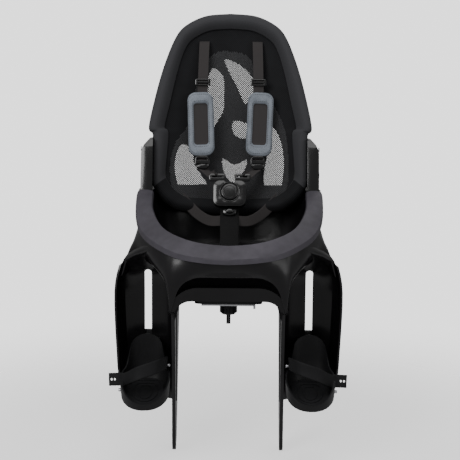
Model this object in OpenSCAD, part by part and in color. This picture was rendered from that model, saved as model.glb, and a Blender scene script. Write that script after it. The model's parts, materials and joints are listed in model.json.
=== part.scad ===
// Rear child bike seat. The child faces -Y; the origin is at the middle of the adapter's underside.

/* [Bucket] */
// Half width of the bucket's opening
lip_half = 148; // [142:1:152]
// Width of the soft-touch band on the lip
band_w = 25; // [18:1:26]
// Height of the bucket's lip at the sides and the rear
lip_z = 188; // [180:1:196]
// Height of the lip at the front
front_z = 121; // [114:1:128]
// Height of the seat pan
pan_z = 62; // [56:1:70]
// Wall thickness of the moulding
wall = 3.6; // [3:0.2:4.6]

/* [Back] */
// Length of the back along its slope, from its lower edge
back_len = 472; // [440:1:500]
// Half width of the back at its widest
back_half = 157; // [150:1:160]
// Recline of the back from upright
recline = 13.5; // [11:0.5:16]
// Radius that the back is curved to across its width
back_r = 420; // [380:5:520]

/* [Legs] */
// Half width of the space between the leg shields, over the wheel
tunnel_half = 97; // [92:1:99]
// Greatest half width over the leg shields
leg_half = 208; // [204:1:214]
// Height of the tips of the leg shields
tip_z = -283; // [-300:1:-260]
// Width of the long slots in the leg shields
slot_w = 13; // [10:0.5:16]

/* [Foot cups] */
// Distance of a foot cup's middle from the middle plane
foot_x = 151; // [150:0.5:152]
// Half width of a foot cup
foot_half = 45.5; // [43:0.5:46]
// Height of the tread at the heel
heel_z = -142; // [-146:1:-136]
// Width of the rubber strap
strap_w = 24; // [18:1:26]

/* [Harness] */
// Distance of a shoulder strap from the middle plane
strap_x = 52; // [48:1:56]
// Width of the webbing
web_w = 20; // [18:0.5:22]

/* [Carrier adapter] */
// Width of the adapter plate
plate_w = 125; // [120:1:130]
// Length of the adapter plate
plate_l = 180; // [160:2:190]
// Thickness of the adapter plate
plate_h = 12; // [12:0.5:14]

/* [Hidden] */
$fn = 48;
black = [0.07, 0.07, 0.08];
satin = [0.12, 0.12, 0.13];
anthracite = [0.29, 0.28, 0.31];
steel = [0.6, 0.6, 0.62];
grey = [0.42, 0.44, 0.47];
web_black = [0.1, 0.1, 0.1];
steps = 3;
web_t = 1.6;

// Vector helpers
function unit(v) = v / max(norm(v), 1e-6);
function lerp(a, b, t) = a + (b - a) * t;
function smooth(t) = let (u = min(max(t, 0), 1)) u * u * (3 - 2 * u);
function mirrored(p) = [-p.x, p.y, p.z];

// One stretch of a smooth curve through four points
function bend(a, b, c, d, t) =
    0.5 * (2 * b + (c - a) * t + (2 * a - 5 * b + 4 * c - d) * t * t + (3 * b - a - 3 * c + d) * t * t * t);

// Smooth curve through the points of p, with n steps between two of them
function curve(p, n = steps) = [
    for (i = [0 : len(p) - 2], k = [0 : n - 1])
        bend(p[max(i - 1, 0)], p[i], p[i + 1], p[min(i + 2, len(p) - 1)], k / n),
    p[len(p) - 1]];

// The same through a closed ring of points
function loop_curve(p, n = steps) = let (m = len(p)) [
    for (i = [0 : m - 1], k = [0 : n - 1])
        bend(p[(i + m - 1) % m], p[i], p[(i + 1) % m], p[(i + 2) % m], k / n)];

// Two triangles for each cell of a grid with this many columns
function cells(rows, cols, first, closed, flip) = [
    for (r = [0 : rows - 2], c = [0 : cols - (closed ? 1 : 2)])
        let (a = first + r * cols + c, b = first + r * cols + (c + 1) % cols,
            d = a + cols, e = b + cols)
        each flip ? [[a, b, e], [a, e, d]] : [[a, e, b], [a, d, e]]];

// Solid between a front grid and a back grid of the same size, open at its four edges
module sheet(front, back) {
    rows = len(front);
    cols = len(front[0]);
    all = [for (g = [front, back], r = g, p = r) p];
    n = rows * cols;
    top = [for (c = [0 : cols - 2]) each [[c, c + 1, n + c + 1], [c, n + c + 1, n + c]]];
    low = [for (c = [0 : cols - 2]) let (a = (rows - 1) * cols + c)
        each [[a, n + a + 1, a + 1], [a, n + a, n + a + 1]]];
    left = [for (r = [0 : rows - 2]) let (a = r * cols, b = a + cols)
        each [[a, n + b, b], [a, n + a, n + b]]];
    right = [for (r = [0 : rows - 2]) let (a = r * cols + cols - 1, b = a + cols)
        each [[a, b, n + b], [a, n + b, n + a]]];
    polyhedron(all, concat(cells(rows, cols, 0, false, false), cells(rows, cols, n, false, true),
        top, low, left, right), convexity = 8);
}

// Solid between inner rings and outer rings, both from the lip to a flat floor
module tub(inner, outer) {
    cols = len(inner[0]);
    n_in = len(inner);
    n_out = len(outer);
    start = n_in * cols;
    mid_in = start + n_out * cols;
    all = concat([for (r = inner, p = r) p], [for (r = outer, p = r) p],
        [middle(inner[n_in - 1]), middle(outer[n_out - 1])]);
    lip = [for (c = [0 : cols - 1]) let (d = (c + 1) % cols)
        each [[c, start + d, d], [c, start + c, start + d]]];
    floor_in = [for (c = [0 : cols - 1])
        [start - cols + (c + 1) % cols, mid_in, start - cols + c]];
    floor_out = [for (c = [0 : cols - 1])
        [mid_in - cols + (c + 1) % cols, mid_in - cols + c, mid_in + 1]];
    polyhedron(all, concat(cells(n_in, cols, 0, true, true), cells(n_out, cols, start, true, false),
        lip, floor_in, floor_out), convexity = 8);
}
function middle(ring) = [for (k = [0 : 2]) vsum([for (p = ring) p[k]]) / len(ring)];
function vsum(v) = v * [for (x = v) 1];

// Flat band of webbing along a path, its width laid along w
module ribbon(path, w, width, t) {
    side = unit(w) * width / 2;
    n = len(path);
    up = [for (i = [0 : n - 1])
        unit(cross(path[min(i + 1, n - 1)] - path[max(i - 1, 0)], side)) * t / 2];
    sheet([for (i = [0 : n - 1]) [path[i] - side - up[i], path[i] + side - up[i]]],
        [for (i = [0 : n - 1]) [path[i] - side + up[i], path[i] + side + up[i]]]);
}

// Copy on the other side of the middle plane
module other_side() {
    mirror([1, 0, 0]) children();
}

// Lip of the bucket: half paths from the middle of the rear to the middle of the front
function held(p) = [p.x, p.y, min(p.z, lip_z)];
lip_in_half = [[0, 158, lip_z], [85, 148, lip_z], [lip_half - 7, 112, lip_z], [lip_half, 60, lip_z],
    [lip_half - 1, 15, lip_z - 11], [lip_half - 3, -15, lip_z - 20], [lip_half - 15, -62, lip_z - 36],
    [lip_half - 35, -98, front_z + 18], [lip_half - 70, -127, front_z + 8], [40, -140, front_z + 2],
    [0, -145, front_z]];
lip_out_half = [[0, 168, lip_z], [98, 158, lip_z], [lip_half + band_w - 4, 120, lip_z],
    [lip_half + band_w, 60, lip_z], [lip_half + band_w, 15, lip_z - 12],
    [lip_half + band_w - 2, -20, lip_z - 31], [lip_half + band_w - 12, -66, front_z + 17],
    [lip_half + band_w - 34, -108, front_z + 3], [lip_half + band_w - 78, -144, front_z - 13],
    [46, -161, front_z - 19], [0, -165, front_z - 21]];
function both_sides(half) = let (c = [for (p = curve(half)) held(p)], m = len(c))
    concat(c, [for (i = [m - 2 : -1 : 1]) mirrored(c[i])]);
lip_in = both_sides(lip_in_half);
lip_out = both_sides(lip_out_half);
ring_n = len(lip_in);
trim_from = 3 * steps;

// Foot of a ring of the bucket: plan shape scaled about the pan, at one height
pan_c = [0, -4];
function pan_ring(sx, sy, z) = [for (p = lip_in) [p.x * sx, pan_c.y + (p.y - pan_c.y) * sy, z]];
function blend_ring(a, b, q) = [for (i = [0 : ring_n - 1])
    let (h = 1 - cos(q)) [lerp(a[i].x, b[i].x, h), lerp(a[i].y, b[i].y, h),
        lerp(a[i].z, b[i].z, sin(q))]];
pan_in = pan_ring(0.72, 0.8, pan_z);
apron = [for (i = [0 : ring_n - 1]) let (p = lip_out[i], f = smooth((60 - p.y) / 120))
    [p.x * (1 - 0.05 * f), p.y + 4 * f, p.z - 10 - 22 * f]];
apron_step = [for (p = apron) [p.x * 0.95, pan_c.y + (p.y - pan_c.y) * 0.94, p.z - 3]];

// Leg shield: rows from its top, each [height, inner x, outer x, inner y, middle y, outer y]
leg_in = tunnel_half + 1.7;
leg_rows = [
    [116, leg_in + 4, 148, -120, -112, -78],
    [100, leg_in + 2, 176, -116, -96, -50],
    [78, leg_in + 10, leg_half - 13, -94, -57, -48],
    [52, leg_in, leg_half - 4, -66, -26, -54],
    [20, leg_in, leg_half, -62, -20, -62],
    [-30, leg_in, leg_half - 1, -60, -20, -68],
    [-90, leg_in, leg_half - 4, -58, -20, -70],
    [-150, leg_in, leg_half - 8, -56, -22, -66],
    [-192, leg_in, leg_half - 20, -52, -28, -56]];
leg_depth = [1, 0.6, 0.15, 0, 0.1, 0.5, 1];
function leg_row(r) = let (mid = (r[1] + r[2]) / 2) curve([
    for (k = [0 : 6]) let (x = [r[1], r[1] + 4, r[1] + 16, mid, r[2] - 14, r[2] - 3, r[2]][k],
        edge = k < 3 ? r[3] : r[5])
        [x, lerp(r[4], edge, leg_depth[k]), r[0]]], 2);
leg_grid = [for (r = curve(leg_rows, 2)) leg_row(r)];
function grid_normal(g, r, c) = let (a = g[min(r + 1, len(g) - 1)][c] - g[max(r - 1, 0)][c],
    b = g[r][min(c + 1, len(g[0]) - 1)] - g[r][max(c - 1, 0)]) unit(cross(a, b));
function ring_shift(g, t) = [for (r = [0 : len(g) - 1]) let (n = len(g[0])) [for (c = [0 : n - 1])
    let (a = g[min(r + 1, len(g) - 1)][c] - g[max(r - 1, 0)][c],
        b = g[r][(c + 1) % n] - g[r][(c + n - 1) % n])
        g[r][c] + unit(cross(a, b)) * t]];
function grid_shift(g, t) = [for (r = [0 : len(g) - 1]) [for (c = [0 : len(g[0]) - 1])
    g[r][c] + grid_normal(g, r, c) * t]];
slot_top = 55;
slot_low = -99;
slot_x = foot_x;
module leg_panel() {
    difference() {
        sheet(grid_shift(leg_grid, -wall), leg_grid);
        translate([slot_x, 40, 0]) rotate([90, 0, 0]) linear_extrude(90) slot_2d(slot_w);
    }
}
module slot_2d(w) {
    for (z = [slot_top - w / 2, slot_low + w / 2]) translate([0, z]) circle(w / 2, $fn = 24);
    translate([-w / 2, slot_low + w / 2]) square([w, slot_top - slot_low - w]);
}

// Wheel tunnel and leg guards: an arch seen from the front, cut to the side view
tunnel_top = 20;
module arch_2d(side, over, round) {
    r = round;
    half = tunnel_half + side;
    top = tunnel_top + over;
    translate([-half, tip_z - 20]) square([2 * half, top - r - tip_z + 20]);
    translate([-half + r, top - r - 1]) square([2 * (half - r), r + 1]);
    for (s = [-1, 1]) translate([s * (half - r), top - r]) circle(r, $fn = 32);
}
guard_side = [[-150, 62], [-150, 32], [-124, -17], [-106, -64], [-94, -130], [-84, -200], [-76, tip_z + 8],
    [-66, tip_z], [-46, tip_z], [-30, tip_z + 12], [10, -215], [54, -130], [92, -60], [118, 10], [122, 62]];
module guard_profile() {
    offset(r = 12, $fn = 20) offset(delta = -12) polygon(guard_side);
}
module along_x(from, length) {
    translate([from, 0, 0]) rotate([90, 0, 90]) linear_extrude(length) children();
}
module along_y(from, length) {
    translate([0, from + length, 0]) rotate([90, 0, 0]) linear_extrude(length) children();
}
module guards() {
    intersection() {
        along_x(-150, 300) guard_profile();
        along_y(-170, 320) difference() {
            arch_2d(wall, wall, 33);
            arch_2d(0, 0, 30);
        }
    }
    // Flange along the front edge
    intersection() {
        along_x(-150, 300) difference() {
            translate([-0.8, 0]) guard_profile();
            translate([9, 0]) guard_profile();
            translate([-60, -400]) square([300, 470]);
        }
        along_y(-170, 320) difference() {
            arch_2d(wall + 3, wall + 3, 36);
            arch_2d(1, 1, 31);
        }
    }
    // Deep front flange over the wheel
    intersection() {
        along_y(-149, 12) difference() {
            arch_2d(12, 26, 54);
            arch_2d(1.2, 1.2, 31.2);
        }
        along_x(-150, 300) polygon([[-170, 60], [-120, 60], [-120, -14], [-136, -6], [-149, 2], [-170, 10]]);
    }
}

// Cross ribs and long ribs under the pan, with drain holes through them
rib_ys = [-96, -60, -24, 12, 48, 84];
rib_xs = [-62, 62];
module pan_ribs() {
    difference() {
        union() {
            for (y = rib_ys) hull() {
                translate([-92, y, tunnel_top + 1]) cube([184, 3, 2]);
                translate([-84, y, pan_z - 4]) cube([168, 3, 2]);
            }
            for (x = rib_xs) hull() {
                translate([x - 1.5, rib_ys[0] - 16, tunnel_top + 1]) cube([3, 206, 2]);
                translate([x - 1.5, rib_ys[0] - 6, pan_z - 4]) cube([3, 190, 2]);
            }
        }
        for (x = [-78, -38, 38, 78]) translate([x, 140, (pan_z + tunnel_top) / 2])
            rotate([90, 0, 0]) cylinder(r = 9, h = 280, $fn = 6);
    }
}

// Bosses behind the back frame that its low screws go into
module back_bosses() {
    intersection() {
        laid_back() difference() {
            for (s = [-1, 1], z = screw_zs) translate([s * screw_x, 60, z]) rotate([90, 0, 0])
                cylinder(r = 6, h = 90, $fn = 16);
            translate([0, 16 - back_r, 0]) cylinder(r = back_r + frame_t, h = 300, $fn = 180);
        }
        translate([-200, 0, 100]) cube([400, 136, 120]);
    }
}

module seat_shell() {
    skin = concat([apron_step, apron, lip_out], [for (q = [0 : 18 : 90]) blend_ring(lip_in, pan_in, q)]);
    color(black) difference() {
        union() {
            tub(skin, ring_shift(skin, -wall));
            leg_panel();
            other_side() leg_panel();
            guards();
            pan_ribs();
            back_bosses();
        }
        crotch_slot();
        for (x = adapter_xs, y = adapter_ys) translate([x, y, plate_h]) cylinder(r = 3, h = 20, $fn = 16);
        laid_back() for (s = [-1, 1], z = screw_zs) translate([s * screw_x, 40, z]) rotate([90, 0, 0])
            cylinder(r = 2.6, h = 80, $fn = 16);
    }
}
module crotch_slot() {
    translate([-22, crotch_y - 2.6, pan_z - 12]) cube([44, 5.2, 40]);
}

// Soft-touch band over the front and sides of the lip
trim_t = 3.2;
function trim_frame(i) = let (p = lip_in[i], q = lip_out[i], a = lip_in[i - 1], b = lip_in[i + 1])
    [p, q, unit(cross(b - a, q - p))];
module rim_trim() {
    rows = [for (i = [trim_from : ring_n - trim_from]) trim_frame(i)];
    top = [for (f = rows) let (d = unit(f[1] - f[0]), h = unit([d.x, d.y, 0]), n = f[2]) [
        f[0] - h * trim_t - [0, 0, 12], f[0] - h * trim_t - [0, 0, 1],
        f[0] - h * 1.2 + n * 2.4, lerp(f[0], f[1], 0.3) + n * 4.6,
        lerp(f[0], f[1], 0.7) + n * 4.8, f[1] + h * 1.2 + n * 2.6,
        f[1] + h * trim_t - [0, 0, 1.5], f[1] + h * trim_t - [0, 0, 8]]];
    low = [for (f = rows) let (d = unit(f[1] - f[0]), h = unit([d.x, d.y, 0]), n = f[2]) [
        f[0] - h * 2 - [0, 0, 12], f[0] - h * 1.2 + [0, 0, 0.2], f[0] + n * 0.6,
        lerp(f[0], f[1], 0.3) + n * 0.9, lerp(f[0], f[1], 0.7) + n * 0.9,
        f[1] + n * 0.6, f[1] + h * 0.5 - [0, 0, 3], f[1] + h * 0.5 - [0, 0, 8]]];
    color(anthracite) sheet(low, top);
}

module seat_pad() {
    inner = [for (k = [0 : 1]) pan_ring(0.66 - 0.06 * k, 0.72 - 0.06 * k, pan_z + 16)];
    outer = [pan_ring(0.68, 0.74, pan_z + 8), pan_ring(0.68, 0.74, pan_z)];
    color(satin) difference() {
        tub(inner, outer);
        crotch_slot();
    }
}

// Back: everything on it is drawn upright and then laid back
back_foot = [0, 95, 60];
module laid_back() {
    translate(back_foot) rotate([-recline, 0, 0]) children();
}
function on_back(p) = let (c = cos(recline), s = sin(recline))
    back_foot + [p.x, p.y * c + p.z * s, p.z * c - p.y * s];
function bowed(x, z, y) = [x, y - x * x / (2 * back_r), z];
back_half_outline = [[0, back_len], [48, back_len - 5], [86, back_len - 24], [107, back_len - 50],
    [128, back_len - 105], [144, back_len - 165], [back_half - 1, 247], [back_half - 4, 232],
    [lip_half - 6, 214], [lip_half - 17, 150], [123, 107], [88, 84], [0, 78]];
back_outline = let (c = curve(back_half_outline, 2), m = len(c))
    concat(c, [for (i = [m - 2 : -1 : 1]) mirrored2(c[i])]);
function mirrored2(p) = [-p.x, p.y];
back_mid = [0, 260];
function inset(p, d) = let (v = p - back_mid) back_mid + v * max(1 - d / max(norm(v), 1), 0.02);
module back_outline_2d(d) {
    polygon([for (p = back_outline) inset(p, d)]);
}
module bowed_plate(y0, t) {
    translate([0, y0 - back_r, 0]) difference() {
        cylinder(r = back_r + t, h = back_len + 20, $fn = 180);
        translate([0, 0, -1]) cylinder(r = back_r, h = back_len + 22, $fn = 180);
    }
}

// Openings of the back frame, one side of the harness and the other
openings = [
    [[-12, 387], [20, 374], [43, 349], [46, 317], [29, 298], [12, 332], [-4, 362]],
    [[-35, 369], [-15, 352], [-13, 311], [-15, 282], [-32, 252],
        [-43, 223], [-54, 247], [-48, 301], [-46, 342]],
    [[6, 264], [31, 260], [37, 242], [25, 229], [6, 240]],
    [[-95, 217], [-74, 203], [-70, 178], [-48, 145], [-33, 122],
        [-48, 108], [-87, 112], [-104, 145], [-108, 184]],
    [[-15, 190], [8, 178], [33, 188], [25, 161], [6, 141], [-11, 161]],
    [[82, 252], [99, 223], [105, 175], [97, 125], [74, 118], [66, 155], [74, 204]]];
slot_z = back_len - 53;
frame_t = 4;
screw_x = 109;
screw_zs = [113, 124];
module strap_slots() {
    for (s = [-1, 1]) along_y(-80, 130) translate([s * strap_x - 13, slot_z - 3]) square([26, 6]);
}
module back_shell() {
    color(satin) difference() {
        laid_back() back_frame();
        for (s = [0, 1], z = bracket_zs) mirror([s, 0, 0]) bracket_bore(z);
    }
}
module back_frame() {
    difference() {
        union() {
            intersection() {
                bowed_plate(16, frame_t);
                along_y(-80, 130) back_outline_2d(4);
            }
            intersection() {
                bowed_plate(3, 13 + frame_t);
                along_y(-80, 130) difference() {
                    back_outline_2d(4);
                    back_outline_2d(9);
                }
            }
        }
        for (o = openings) along_y(-80, 130) polygon(loop_curve(o, 3));
        strap_slots();
        for (s = [-1, 1], z = screw_zs) translate([s * screw_x, 0, z]) rotate([90, 0, 0])
            cylinder(r = 2.6, h = 160, center = true);
    }
}

module back_mesh() {
    rows = [[1, 13], [0, 2], [3, -6], [11, -10], [19, -7], [27, 1], [60, 6], [110, 9]];
    front = [for (r = rows) [for (p = back_outline) let (q = inset(p, r[0])) bowed(q.x, q.y, r[1])]];
    back = [for (r = rows) [for (p = back_outline)
        let (q = inset(p, r[0] + (r[1] < 0 ? 1 : 3))) bowed(q.x, q.y, r[1] + (r[0] < 2 ? 0 : 3))]];
    color([0.13, 0.13, 0.14]) laid_back() difference() {
        tub(front, back);
        strap_slots();
    }
}

// Side brackets that hold the back over the lip
bracket_front = [[lip_half + 0.6, lip_z], [lip_half + 23, lip_z], [lip_half + 23, 260],
    [lip_half + 20, 270], [lip_half + 8, 283], [lip_half + 0.6, 285]];
bracket_side = [[63, lip_z], [121, lip_z], [141, 276], [137, 285], [102, 285], [93, 272]];
module side_bracket() {
    intersection() {
        along_y(40, 120) polygon(bracket_front);
        along_x(lip_half, 40) offset(r = 3, $fn = 24) offset(delta = -3) polygon(bracket_side);
    }
}
module side_bracket_right() {
    color(black) difference() {
        side_bracket();
        for (z = bracket_zs) bracket_bore(z);
    }
}
bracket_zs = [215, 262];
function bracket_y(z) = 119 + (z - 215) * 0.234;
module bracket_bore(z) {
    translate([lip_half - 24, bracket_y(z), z]) rotate([0, 90, 0]) cylinder(r = 2.6, h = 60);
}
module side_bracket_left() {
    other_side() side_bracket_right();
}
module screw(length, r, head_r, head_h) {
    cylinder(r = r, h = length);
    translate([0, 0, length]) difference() {
        cylinder(r = head_r, h = head_h);
        translate([0, 0, head_h - 1.4]) cylinder(r = head_r * 0.5, h = 2, $fn = 6);
    }
}
module bracket_screws() {
    color(steel) for (s = [0, 1], z = bracket_zs) mirror([s, 0, 0])
        translate([lip_half - 18, bracket_y(z), z]) rotate([0, 90, 0]) screw(41, 2.5, 4.5, 2.6);
}
module back_screws() {
    front = 16 - screw_x * screw_x / (2 * back_r) - 1.9;
    color(steel) laid_back() for (s = [-1, 1], z = screw_zs) translate([s * screw_x, front + 17, z])
        rotate([90, 0, 0]) screw(17, 2.5, 4.5, 2.6);
}

// Harness straps, with points given upright on the back as [x, out of the back, height]
function strap_point(x, y, z) = on_back([x, y, z]);
strap_path = [for (p = [[strap_x, 22, slot_z], [strap_x, 8, slot_z], [strap_x, -4, slot_z - 6],
    [strap_x + 1, -10, slot_z - 40], [strap_x + 2, -14.2, slot_z - 80],
    [strap_x + 3, -15, slot_z - 120]]) strap_point(p.x, p.y, p.z)];
module shoulder_strap_right() {
    color(web_black) ribbon(curve(strap_path, 4), [1, 0, 0], web_w, web_t);
}
module shoulder_strap_left() {
    other_side() shoulder_strap_right();
}
module plate_2d(w, h, r) {
    translate([r - w / 2, r - h / 2]) offset(r = r, $fn = 24) square([w - 2 * r, h - 2 * r]);
}
module on_strap(x, y, z, turn = 0) {
    laid_back() translate([x, y, z]) rotate([90 - 2, turn, 0]) children();
}
module upper_adjuster_right() {
    color(black) on_strap(strap_x + 2, -15.3, slot_z - 84) difference() {
        linear_extrude(4) plate_2d(30, 13, 3);
        for (s = [-1, 1]) translate([0, s * 3, -1]) linear_extrude(6)
            square([web_w + 1, 2.6], center = true);
    }
}
module upper_adjuster_left() {
    other_side() upper_adjuster_right();
}
pad_top = slot_z - 104;
pad_len = 124;
module shoulder_pad_right() {
    color(grey) on_strap(strap_x + 5, -18, pad_top - pad_len / 2, 2) difference() {
        linear_extrude(7) plate_2d(50, pad_len, 16);
        translate([0, 0, 3]) linear_extrude(5) plate_2d(29, pad_len - 42, 6);
    }
}
module shoulder_pad_left() {
    other_side() shoulder_pad_right();
}
lower_z = pad_top - pad_len;
module lower_adjuster_right() {
    color(black) on_strap(strap_x + 2, -20.2, lower_z - 12) difference() {
        linear_extrude(5) plate_2d(28, 24, 9);
        for (s = [-1, 1]) translate([0, s * 5, -1]) linear_extrude(7) square([web_w, 4], center = true);
    }
}
module lower_adjuster_left() {
    other_side() lower_adjuster_right();
}
buckle = [0, 84, 182];
buckle_tilt = -24;
tongue = [25, 97, 213];
lower_path = [strap_point(strap_x + 3, -15, lower_z + 24), strap_point(strap_x + 2, -18, lower_z - 2),
    strap_point(strap_x + 1, -20, lower_z - 22), [tongue.x + 16, tongue.y + 1, tongue.z + 6], tongue];
module lower_strap_right() {
    color(web_black) ribbon(curve(lower_path, 4), [1, 0, 0.25], web_w, web_t);
}
module lower_strap_left() {
    other_side() lower_strap_right();
}
lap_path = [[104, 124, 178], [86, 110, 162], [62, 92, 141], [38, 74, 131], [14, 63.4, 133]];
module lap_strap_right() {
    color(web_black) ribbon(curve(lap_path, 4), [0, 0.3, 0.95], web_w, web_t);
}
module lap_strap_left() {
    other_side() lap_strap_right();
}

// Buckle
module at_buckle() {
    translate(buckle) rotate([90 + buckle_tilt, 0, 0]) children();
}
buckle_w = 62;
buckle_h = 50;
button_r = 17;
module buckle_2d(d) {
    offset(delta = -d) difference() {
        translate([0, -2]) offset(r = 12, $fn = 32) square([buckle_w - 24, buckle_h - 24], center = true);
        translate([0, buckle_h / 2 + 2]) circle(11, $fn = 32);
    }
}
module buckle_body() {
    color(black) at_buckle() difference() {
        union() {
            linear_extrude(12) buckle_2d(0);
            translate([0, 0, 12]) linear_extrude(2) buckle_2d(3);
        }
        translate([0, 0, -1]) cylinder(r = button_r + 0.4, h = 20);
        for (s = [-1, 1]) translate([s * 21, 14, 5]) cube([13, 30, 4.4], center = true);
    }
}
module buckle_back() {
    color(satin) at_buckle() translate([0, 0, -4]) linear_extrude(4) buckle_2d(0);
}
module buckle_button() {
    color(black) at_buckle() {
        translate([0, 0, 8]) cylinder(r = button_r, h = 7);
        translate([0, 0, 15]) cylinder(r1 = button_r, r2 = button_r - 2, h = 1.4);
    }
}
module buckle_spring() {
    color(steel) at_buckle() translate([0, 0, 0]) difference() {
        cylinder(r = 6, h = 8);
        translate([0, 0, -1]) cylinder(r = 5, h = 10);
    }
}
module buckle_tongue_right() {
    blade_in = button_r + 1;
    color(black) at_buckle() difference() {
        union() {
            translate([blade_in, 6, 3.2]) cube([26.5 - blade_in, 22, 3.6]);
            translate([24, 31, 2.5]) linear_extrude(5) plate_2d(32, 14, 5);
        }
        translate([24, 32, 2]) linear_extrude(6) square([web_w, 3.4], center = true);
    }
}
module buckle_tongue_left() {
    other_side() buckle_tongue_right();
}
crotch_y = -1.5;
crotch_path = [[0, 93, 189], [0, 81, 161.5], [0, 56, 128], [0, 28, 98], [0, 5, 84], [0, crotch_y, 74],
    [0, crotch_y, pan_z - 10]];
module crotch_strap() {
    color(satin) ribbon(curve(crotch_path, 4), [1, 0, 0], 40, 3);
}
module harness_anchor() {
    color(steel) translate([-28, crotch_y - 4.8, pan_z - wall - 3]) rotate([0, 90, 0])
        cylinder(r = 3, h = 56);
}

// Carrier adapter and its clamp
bolt_r = 4;
clamp_y = -42;
module at_clamp() {
    translate([0, clamp_y, 0]) children();
}
module adapter_body() {
    color(black) difference() {
        union() {
            translate([0, 10, 0]) linear_extrude(plate_h) plate_2d(plate_w, plate_l, 10);
            translate([0, 10, plate_h]) linear_extrude(tunnel_top - plate_h)
                plate_2d(plate_w - 20, plate_l - 30, 10);
        }
        translate([-plate_w, clamp_y - 60, -1]) cube([2 * plate_w, 92, 2.2]);
        at_clamp() translate([0, 0, -1]) cylinder(r = bolt_r + 0.2, h = 40);
        at_clamp() translate([0, 0, plate_h]) cylinder(r = 7.4, h = 20, $fn = 6);
        for (x = adapter_xs, y = adapter_ys) translate([x, y, -1]) {
            cylinder(r = 3.1, h = 40);
            cylinder(r = 5.4, h = 7.8);
        }
    }
}
adapter_xs = [-40, 40];
adapter_ys = [-45, 65];
module adapter_screws() {
    color(steel) for (x = adapter_xs, y = adapter_ys) translate([x, y, tunnel_top + 5])
        rotate([180, 0, 0]) screw(tunnel_top - 1.8, 2.9, 5, 2.6);
}
module clamp_plate() {
    color(steel) at_clamp() difference() {
        union() {
            translate([-50, -28, -4.5]) cube([100, 56, 3.5]);
            translate([46, -28, -10]) cube([4, 56, 6]);
            translate([-18, -20, -6.5]) cube([36, 40, 4]);
        }
        translate([0, 0, -20]) cylinder(r = bolt_r + 0.3, h = 40);
    }
}
module clamp_bolt() {
    color(steel) at_clamp() {
        translate([0, 0, -44]) cylinder(r = bolt_r, h = 44 + plate_h);
        translate([0, 0, plate_h]) cylinder(r = 7, h = 5, $fn = 6);
    }
}
module clamp_knob() {
    color(black) at_clamp() difference() {
        translate([0, 0, -21]) {
            cylinder(r = 16.5, h = 14);
            translate([0, 0, -4]) cylinder(r1 = 12, r2 = 16.5, h = 4);
        }
        translate([0, 0, -40]) cylinder(r = bolt_r + 0.2, h = 60);
        for (a = [0 : 45 : 315]) rotate([0, 0, a]) translate([19, 0, -30]) cylinder(r = 4.5, h = 40);
    }
}

// Foot cup, drawn for the right side
cup_heel = -58;
cup_front = -190;
cup_slope = 0.224;
cup_wall = 3;
cup_n = 40;
function cup_floor(y) = heel_z + (y + 60) * cup_slope;
function cup_lip(a, x) = a < 118
    ? lerp(heel_z - 18, heel_z + 22, smooth(a / 118))
    : heel_z + 22 + sqrt(max(1 - pow(x / 43, 2), 0)) * 60 * smooth((a - 118) / 30);
function cup_half(a) = lerp(foot_half, 41, smooth((a - 90) / 70));
function squared(v, e) = sign(v) * pow(abs(v), e);
function cup_ring(grow, scale, h) = [for (i = [0 : cup_n - 1])
    let (b = 360 - i * 360 / cup_n, a = b > 180 ? 360 - b : b, e = lerp(0.9, 0.62, smooth((a - 60) / 90)),
        mid_y = (cup_heel + cup_front) / 2, half_y = (cup_heel - cup_front) / 2,
        x = squared(sin(b), e) * (cup_half(a) * scale + grow),
        y = mid_y - squared(cos(b), e) * (half_y * scale + grow))
    [foot_x + x, y, lerp(cup_floor(y) - (grow < 0 ? 0 : cup_wall), cup_lip(a, x / scale), h)]];
module footrest_right() {
    inner = [cup_ring(-cup_wall, 1, 1), cup_ring(-cup_wall, 0.99, 0.5), cup_ring(-cup_wall, 0.96, 0.15),
        cup_ring(-cup_wall, 0.9, 0)];
    outer = [cup_ring(0, 1, 1), cup_ring(0, 0.99, 0.5), cup_ring(0, 0.96, 0.12), cup_ring(0, 0.88, 0)];
    color(satin) difference() {
        union() {
            tub(inner, outer);
            translate([foot_x - 22, cup_heel - 3, heel_z - 3]) cube([44, 33, 70]);
        }
        translate([foot_x + foot_half - 12, strap_y - 21, heel_z - 5]) cube([20, 22, 28]);
    }
}
module footrest_left() {
    other_side() footrest_right();
}
module on_tread() {
    translate([foot_x, -60, heel_z + 0.2]) rotate([atan(cup_slope), 0, 0]) children();
}
module mat_2d(d) {
    w = 35 - d;
    polygon(concat([for (a = [180 : 15 : 360]) [w * cos(a), -66 + (50 - d) * sin(a)]],
        [[w * 0.94, -36 - d / 2], [w * 0.66, -19 - d], [-w * 0.66, -19 - d], [-w * 0.94, -36 - d / 2]]));
}
module foot_mat_right() {
    color(black) on_tread() {
        linear_extrude(1.8) mat_2d(0);
        for (d = [1, 12, 22]) translate([0, 0, 0.8]) linear_extrude(2.2) difference() {
            mat_2d(d);
            mat_2d(d + 3);
        }
    }
}
module foot_mat_left() {
    other_side() foot_mat_right();
}
strap_y = -112;
foot_strap_path = [[foot_x - foot_half + 8.1, strap_y + 26, heel_z + 32],
    [foot_x - foot_half + 8.9, strap_y - 4, heel_z + 40], [foot_x - 18, strap_y - 30, heel_z + 38],
    [foot_x + 12, strap_y - 34, heel_z + 28], [foot_x + foot_half - 10, strap_y - 18, heel_z + 13],
    [foot_x + foot_half + 4, strap_y - 1, heel_z + 8], [foot_x + foot_half + 22, strap_y + 4, heel_z + 6]];
module foot_strap_right() {
    color(black) ribbon(curve(foot_strap_path, 4), [-0.1, 0.2, 1], strap_w, 3);
}
module foot_strap_left() {
    other_side() foot_strap_right();
}
module strap_pegs_right() {
    color(steel) {
        translate([foot_x - foot_half + 1, strap_y + 20, heel_z + 30]) rotate([0, 90, 0])
            cylinder(r = 3, h = 9);
        translate([foot_x + foot_half - 2.5, strap_y - 2, heel_z - 12]) rotate([0, 90, 0])
            cylinder(r = 3, h = 7);
    }
}
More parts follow.
